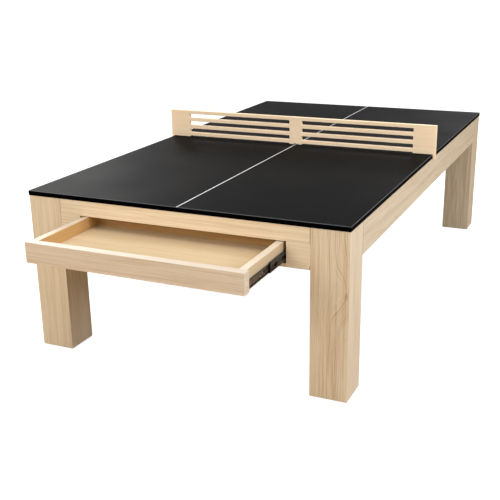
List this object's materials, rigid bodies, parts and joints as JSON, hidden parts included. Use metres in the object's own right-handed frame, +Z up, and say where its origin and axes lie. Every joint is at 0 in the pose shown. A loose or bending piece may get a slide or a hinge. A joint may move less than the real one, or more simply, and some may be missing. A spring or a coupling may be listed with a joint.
{
  "type": "ping pong table",
  "caption": "Full-size ping pong table: black top on a heavy pale wooden frame with square legs, a lift-off slotted wooden net and an equipment drawer on ball-bearing runners.",
  "frame": {"origin": "on the floor, in the middle of the space taken up with the drawer standing open; the table's own centre is 0.194 m from it along +Y", "axes": "+Z up, +Y along the table away from the drawer end, +X to the right seen from the drawer end"},
  "size_m": [1.556, 3.128, 0.9125],
  "materials": {
    "ash": "matt clear lacquer on pale straight-grained ash or oak",
    "plywood": "clear lacquered pale birch",
    "black_top": "satin black coated MDF",
    "zinc_steel": "bright zinc plated",
    "bracket_steel": "black powder coat",
    "felt": "dense wool felt",
    "line_paint": "white line paint on the top",
    "black_plastic": "moulded black plastic on the runners"
  },
  "bodies": {
    "table": {"leg_front_left": "ash", "floor_pad_front_left": "felt", "bracket_front_left_end": "bracket_steel", "leg_bolt_front_left_end": "zinc_steel", "bracket_front_left_side": "bracket_steel", "leg_bolt_front_left_side": "zinc_steel", "leg_front_right": "ash", "floor_pad_front_right": "felt", "bracket_front_right_end": "bracket_steel", "leg_bolt_front_right_end": "zinc_steel", "bracket_front_right_side": "bracket_steel", "leg_bolt_front_right_side": "zinc_steel", "leg_rear_left": "ash", "floor_pad_rear_left": "felt", "bracket_rear_left_end": "bracket_steel", "leg_bolt_rear_left_end": "zinc_steel", "bracket_rear_left_side": "bracket_steel", "leg_bolt_rear_left_side": "zinc_steel", "leg_rear_right": "ash", "floor_pad_rear_right": "felt", "bracket_rear_right_end": "bracket_steel", "leg_bolt_rear_right_end": "zinc_steel", "bracket_rear_right_side": "bracket_steel", "leg_bolt_rear_right_side": "zinc_steel", "tabletop": "black_top", "front_top_rail": "ash", "front_bottom_rail": "ash", "front_stile_left": "ash", "front_stile_right": "ash", "rear_apron": "ash", "side_apron_left": "ash", "side_apron_right": "ash", "cross_rail_1": "plywood", "cross_rail_2": "plywood", "cross_rail_3": "plywood", "cross_rail_4": "plywood", "runner_bearer_left": "plywood", "runner_outer_left": "zinc_steel", "runner_bearer_right": "plywood", "runner_outer_right": "zinc_steel"},
    "drawer": {"drawer_front": "ash", "drawer_side_left": "plywood", "drawer_side_right": "plywood", "drawer_back": "plywood", "drawer_floor": "plywood", "runner_inner_left": "zinc_steel", "runner_inner_right": "zinc_steel"},
    "ball_cage_outer_left": {"ball_cage_outer_left": "zinc_steel"},
    "runner_middle_left": {"runner_middle_left": "zinc_steel"},
    "ball_cage_inner_left": {"ball_cage_inner_left": "zinc_steel"},
    "ball_cage_outer_right": {"ball_cage_outer_right": "zinc_steel"},
    "runner_middle_right": {"runner_middle_right": "zinc_steel"},
    "ball_cage_inner_right": {"ball_cage_inner_right": "zinc_steel"},
    "net": {"net_panel": "ash", "net_felt_left": "felt", "net_felt_centre": "felt", "net_felt_right": "felt"}
  },
  "joints": [
    {"name": "drawer_slide", "type": "slide", "parent": "table", "child": "drawer", "axis": [0, -1, 0], "range_m": [-0.39, 0.06]},
    {"name": "ball_cage_outer_left_slide", "type": "slide", "parent": "table", "child": "ball_cage_outer_left", "axis": [0, -1, 0], "range_m": [-0.0975, 0.015]},
    {"name": "runner_middle_left_slide", "type": "slide", "parent": "table", "child": "runner_middle_left", "axis": [0, -1, 0], "range_m": [-0.195, 0.03]},
    {"name": "ball_cage_inner_left_slide", "type": "slide", "parent": "table", "child": "ball_cage_inner_left", "axis": [0, -1, 0], "range_m": [-0.2925, 0.045]},
    {"name": "ball_cage_outer_right_slide", "type": "slide", "parent": "table", "child": "ball_cage_outer_right", "axis": [0, -1, 0], "range_m": [-0.0975, 0.015]},
    {"name": "runner_middle_right_slide", "type": "slide", "parent": "table", "child": "runner_middle_right", "axis": [0, -1, 0], "range_m": [-0.195, 0.03]},
    {"name": "ball_cage_inner_right_slide", "type": "slide", "parent": "table", "child": "ball_cage_inner_right", "axis": [0, -1, 0], "range_m": [-0.2925, 0.045]},
    {"name": "net_lift", "type": "slide", "parent": "table", "child": "net", "axis": [0, 0, 1], "range_m": [0, 0.2]}
  ],
  "couplings": [
    {"joint": "ball_cage_outer_left_slide", "follows": "drawer_slide", "ratio": 0.25},
    {"joint": "runner_middle_left_slide", "follows": "drawer_slide", "ratio": 0.5},
    {"joint": "ball_cage_inner_left_slide", "follows": "drawer_slide", "ratio": 0.75},
    {"joint": "ball_cage_outer_right_slide", "follows": "drawer_slide", "ratio": 0.25},
    {"joint": "runner_middle_right_slide", "follows": "drawer_slide", "ratio": 0.5},
    {"joint": "ball_cage_inner_right_slide", "follows": "drawer_slide", "ratio": 0.75}
  ]
}
